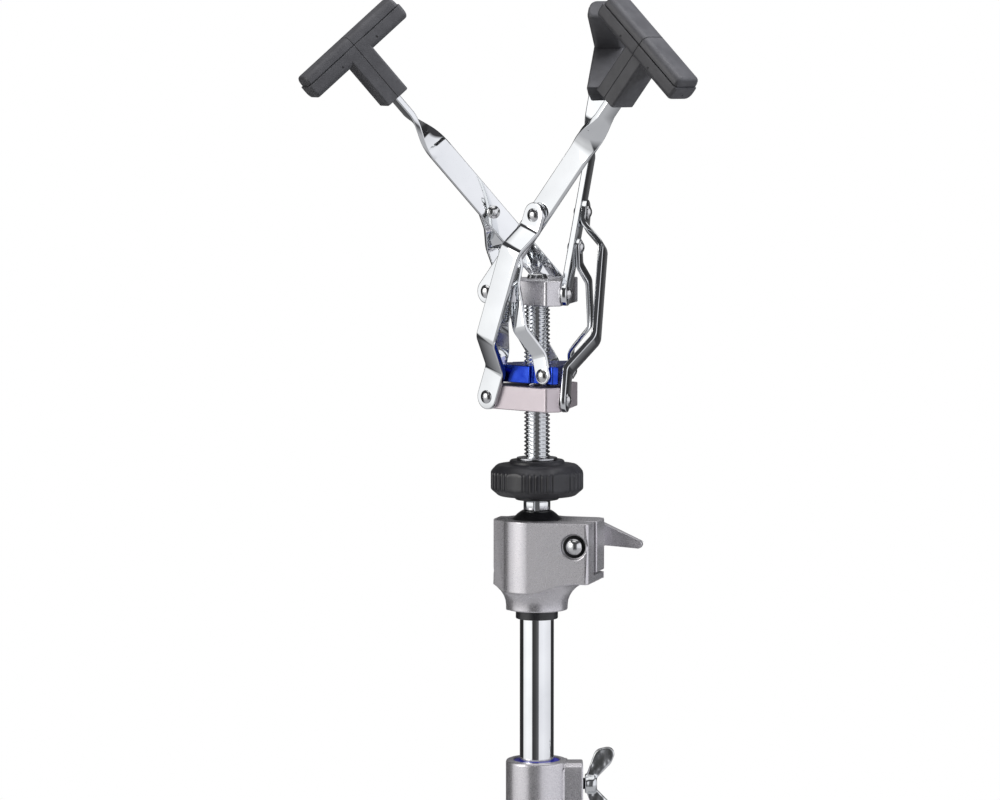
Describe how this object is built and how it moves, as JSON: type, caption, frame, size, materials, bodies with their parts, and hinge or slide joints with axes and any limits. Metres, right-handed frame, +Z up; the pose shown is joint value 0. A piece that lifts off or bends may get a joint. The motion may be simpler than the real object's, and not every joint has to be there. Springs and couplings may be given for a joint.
{
  "type": "snare drum stand",
  "caption": "Folding snare drum stand with a rubber-padded basket of linked arms, hand knob, ball tilter, height tube with wing bolt, and a double-braced tripod.",
  "frame": {"origin": "the point on the floor under the middle of the tubes", "axes": "+Z up; the wing bolt of the height clamp points along +X and the picture looks along +Y"},
  "size_m": [0.4664, 0.4286, 0.8617],
  "materials": {
    "chrome_steel": "bright chrome plate",
    "bright_rivet": "plated steel rivets with a soft shine",
    "silver_casting": "fine silver metallic paint over die casting",
    "blue_anodised": "deep blue anodised",
    "satin_aluminium": "fine blasted satin",
    "black_nylon": "fine moulded texture",
    "black_resin": "smooth moulded",
    "navy_nylon": "smooth moulded",
    "black_steel": "black oxide",
    "turned_steel": "turned",
    "black_rubber": "fine matte moulded rubber"
  },
  "bodies": {
    "root": {"base_tube": "chrome_steel", "base_tube_plug": "black_nylon", "brace_hub": "silver_casting", "brace_hub_pins": "bright_rivet", "height_clamp": "silver_casting", "height_clamp_bush": "navy_nylon", "height_brake_shoe": "black_nylon"},
    "leg_collar": {"leg_collar": "silver_casting", "leg_collar_pins": "bright_rivet"},
    "leg_screw": {"leg_wing_bolt": "chrome_steel"},
    "brace_1": {"brace_1": "chrome_steel"},
    "leg_1": {"leg_1": "chrome_steel", "foot_1": "black_rubber"},
    "brace_2": {"brace_2": "chrome_steel"},
    "leg_2": {"leg_2": "chrome_steel", "foot_2": "black_rubber"},
    "brace_3": {"brace_3": "chrome_steel"},
    "leg_3": {"leg_3": "chrome_steel", "foot_3": "black_rubber"},
    "height_screw": {"height_bolt": "black_steel", "height_wing": "chrome_steel"},
    "tube_slide": {"tube_guide": "black_nylon"},
    "height_tube": {"height_tube": "chrome_steel", "socket_bush": "black_nylon", "tilter_body": "silver_casting", "tilter_jaw": "silver_casting", "jaw_bolt": "bright_rivet"},
    "lever": {"tilter_lever": "silver_casting"},
    "ball_seat": {"ball_seat_ring": "black_nylon"},
    "ball": {"tilt_ball": "black_resin"},
    "rod": {"threaded_rod": "chrome_steel", "basket_hub": "silver_casting", "hub_cap_screw": "bright_rivet", "hub_pins": "bright_rivet"},
    "upper_collar": {"upper_collar": "blue_anodised"},
    "lower_collar": {"lower_collar": "satin_aluminium"},
    "knob_carrier": {"knob_washer": "turned_steel"},
    "knob": {"knob": "black_nylon", "knob_insert": "turned_steel"},
    "arm_right": {"arm_right": "chrome_steel", "pad_right": "black_rubber", "arm_rivets_right": "bright_rivet"},
    "outer_link_right": {"outer_link_right": "chrome_steel"},
    "inner_link_right": {"inner_link_right": "chrome_steel"},
    "arm_back": {"arm_back": "chrome_steel", "pad_back": "black_rubber", "arm_rivets_back": "bright_rivet"},
    "outer_link_back": {"outer_link_back": "chrome_steel"},
    "inner_link_back": {"inner_link_back": "chrome_steel"},
    "arm_left": {"arm_left": "chrome_steel", "pad_left": "black_rubber", "arm_rivets_left": "bright_rivet"},
    "outer_link_left": {"outer_link_left": "chrome_steel"},
    "inner_link_left": {"inner_link_left": "chrome_steel"}
  },
  "joints": [
    {"name": "tripod_fold", "type": "hinge", "parent": "root", "child": "brace_1", "pos_m": [0.02771, 0.016, 0.04], "axis": [0.5, -0.866, 0], "range_deg": [-6, 54]},
    {"name": "leg_1_swing", "type": "hinge", "parent": "brace_1", "child": "leg_1", "pos_m": [0.10035, 0.05794, 0.0846], "axis": [0.5, -0.866, 0], "range_deg": [-108, 12]},
    {"name": "leg_collar_ride", "type": "hinge", "parent": "leg_1", "child": "leg_collar", "pos_m": [0.02771, 0.016, 0.1292], "axis": [0.5, -0.866, 0], "range_deg": [-6, 54]},
    {"name": "brace_2_swing", "type": "hinge", "parent": "root", "child": "brace_2", "pos_m": [-0.02771, 0.016, 0.04], "axis": [0.5, 0.866, 0], "range_deg": [-6, 54]},
    {"name": "leg_2_swing", "type": "hinge", "parent": "brace_2", "child": "leg_2", "pos_m": [-0.10035, 0.05794, 0.0846], "axis": [0.5, 0.866, 0], "range_deg": [-108, 12]},
    {"name": "brace_3_swing", "type": "hinge", "parent": "root", "child": "brace_3", "pos_m": [0, -0.032, 0.04], "axis": [-1, 0, 0], "range_deg": [-6, 54]},
    {"name": "leg_3_swing", "type": "hinge", "parent": "brace_3", "child": "leg_3", "pos_m": [0, -0.11588, 0.0846], "axis": [-1, 0, 0], "range_deg": [-108, 12]},
    {"name": "leg_bolt_turn", "type": "hinge", "parent": "leg_collar", "child": "leg_screw", "pos_m": [0.03031, -0.0175, 0.1292], "axis": [0.866, -0.5, 0], "range_deg": [-30, 330]},
    {"name": "height_slide", "type": "slide", "parent": "root", "child": "tube_slide", "axis": [0, 0, 1], "range_m": [-0.099, 0.07]},
    {"name": "height_turn", "type": "hinge", "parent": "tube_slide", "child": "height_tube", "pos_m": [0, 0, 0.148], "axis": [0, 0, 1], "continuous": true},
    {"name": "height_bolt_turn", "type": "hinge", "parent": "root", "child": "height_screw", "pos_m": [0.0344, 0, 0.2795], "axis": [1, 0, 0], "range_deg": [-30, 330]},
    {"name": "lever_turn", "type": "hinge", "parent": "height_tube", "child": "lever", "pos_m": [0.04118, 0.01628, 0.4612], "axis": [0.2756, 0.9613, 0], "range_deg": [-170, 30]},
    {"name": "ball_swivel", "type": "hinge", "parent": "height_tube", "child": "ball_seat", "pos_m": [0, 0, 0.4653], "axis": [0, 0, 1], "continuous": true},
    {"name": "ball_tilt", "type": "hinge", "parent": "ball_seat", "child": "ball", "pos_m": [0, 0, 0.4653], "axis": [1, 0, 0], "range_deg": [-24, 24]},
    {"name": "rod_spin", "type": "hinge", "parent": "ball", "child": "rod", "pos_m": [0, 0, 0.4653], "axis": [0, 0, 1], "continuous": true},
    {"name": "basket_fold", "type": "hinge", "parent": "rod", "child": "arm_right", "pos_m": [-0.03484, -0.00115, 0.6473], "axis": [-0.682, -0.7314, 0], "range_deg": [-20, 15]},
    {"name": "outer_link_right_swing", "type": "hinge", "parent": "arm_right", "child": "outer_link_right", "pos_m": [-0.00079, -0.03919, 0.70498], "axis": [-0.682, -0.7314, 0], "range_deg": [-8.78, 11.71]},
    {"name": "inner_link_right_swing", "type": "hinge", "parent": "arm_right", "child": "inner_link_right", "pos_m": [-0.01699, -0.02408, 0.67985], "axis": [-0.682, -0.7314, 0], "range_deg": [-10.17, 13.56]},
    {"name": "arm_back_swing", "type": "hinge", "parent": "rod", "child": "arm_back", "pos_m": [0.01841, -0.0296, 0.6473], "axis": [0.9744, -0.225, 0], "range_deg": [-20, 15]},
    {"name": "outer_link_back_swing", "type": "hinge", "parent": "arm_back", "child": "outer_link_back", "pos_m": [0.03433, 0.01892, 0.70498], "axis": [0.9744, -0.225, 0], "range_deg": [-8.78, 11.71]},
    {"name": "inner_link_back_swing", "type": "hinge", "parent": "arm_back", "child": "inner_link_back", "pos_m": [0.02935, -0.00267, 0.67985], "axis": [0.9744, -0.225, 0], "range_deg": [-10.17, 13.56]},
    {"name": "arm_left_swing", "type": "hinge", "parent": "rod", "child": "arm_left", "pos_m": [0.01643, 0.03075, 0.6473], "axis": [-0.2924, 0.9563, 0], "range_deg": [-20, 15]},
    {"name": "outer_link_left_swing", "type": "hinge", "parent": "arm_left", "child": "outer_link_left", "pos_m": [-0.03355, 0.02028, 0.70498], "axis": [-0.2924, 0.9563, 0], "range_deg": [-8.78, 11.71]},
    {"name": "inner_link_left_swing", "type": "hinge", "parent": "arm_left", "child": "inner_link_left", "pos_m": [-0.01236, 0.02675, 0.67985], "axis": [-0.2924, 0.9563, 0], "range_deg": [-10.17, 13.56]},
    {"name": "lower_collar_slide", "type": "slide", "parent": "rod", "child": "lower_collar", "axis": [0, 0, 1], "range_m": [-0.01134, 0.00853]},
    {"name": "upper_collar_slide", "type": "slide", "parent": "rod", "child": "upper_collar", "axis": [0, 0, 1], "range_m": [-0.01225, 0.00921]},
    {"name": "knob_travel", "type": "slide", "parent": "rod", "child": "knob_carrier", "axis": [0, 0, 1], "range_m": [-0.0001, 0.02385]},
    {"name": "knob_turn", "type": "hinge", "parent": "knob_carrier", "child": "knob", "pos_m": [0, 0, 0.5025], "axis": [0, 0, 1], "range_deg": [0, 3420]}
  ],
  "couplings": [
    {"joint": "leg_1_swing", "follows": "tripod_fold", "ratio": -2},
    {"joint": "leg_collar_ride", "follows": "tripod_fold", "ratio": 1},
    {"joint": "brace_2_swing", "follows": "tripod_fold", "ratio": 1},
    {"joint": "leg_2_swing", "follows": "tripod_fold", "ratio": -2},
    {"joint": "brace_3_swing", "follows": "tripod_fold", "ratio": 1},
    {"joint": "leg_3_swing", "follows": "tripod_fold", "ratio": -2},
    {"joint": "outer_link_right_swing", "follows": "basket_fold", "ratio": -0.5849},
    {"joint": "inner_link_right_swing", "follows": "basket_fold", "ratio": -0.6776},
    {"joint": "arm_back_swing", "follows": "basket_fold", "ratio": 1},
    {"joint": "outer_link_back_swing", "follows": "basket_fold", "ratio": -0.5849},
    {"joint": "inner_link_back_swing", "follows": "basket_fold", "ratio": -0.6776},
    {"joint": "arm_left_swing", "follows": "basket_fold", "ratio": 1},
    {"joint": "outer_link_left_swing", "follows": "basket_fold", "ratio": -0.5849},
    {"joint": "inner_link_left_swing", "follows": "basket_fold", "ratio": -0.6776},
    {"joint": "lower_collar_slide", "follows": "basket_fold", "m_per_rad": 0.0322},
    {"joint": "upper_collar_slide", "follows": "basket_fold", "m_per_rad": 0.0348},
    {"joint": "knob_travel", "follows": "knob_turn", "m_per_rad": 0.00039789}
  ]
}
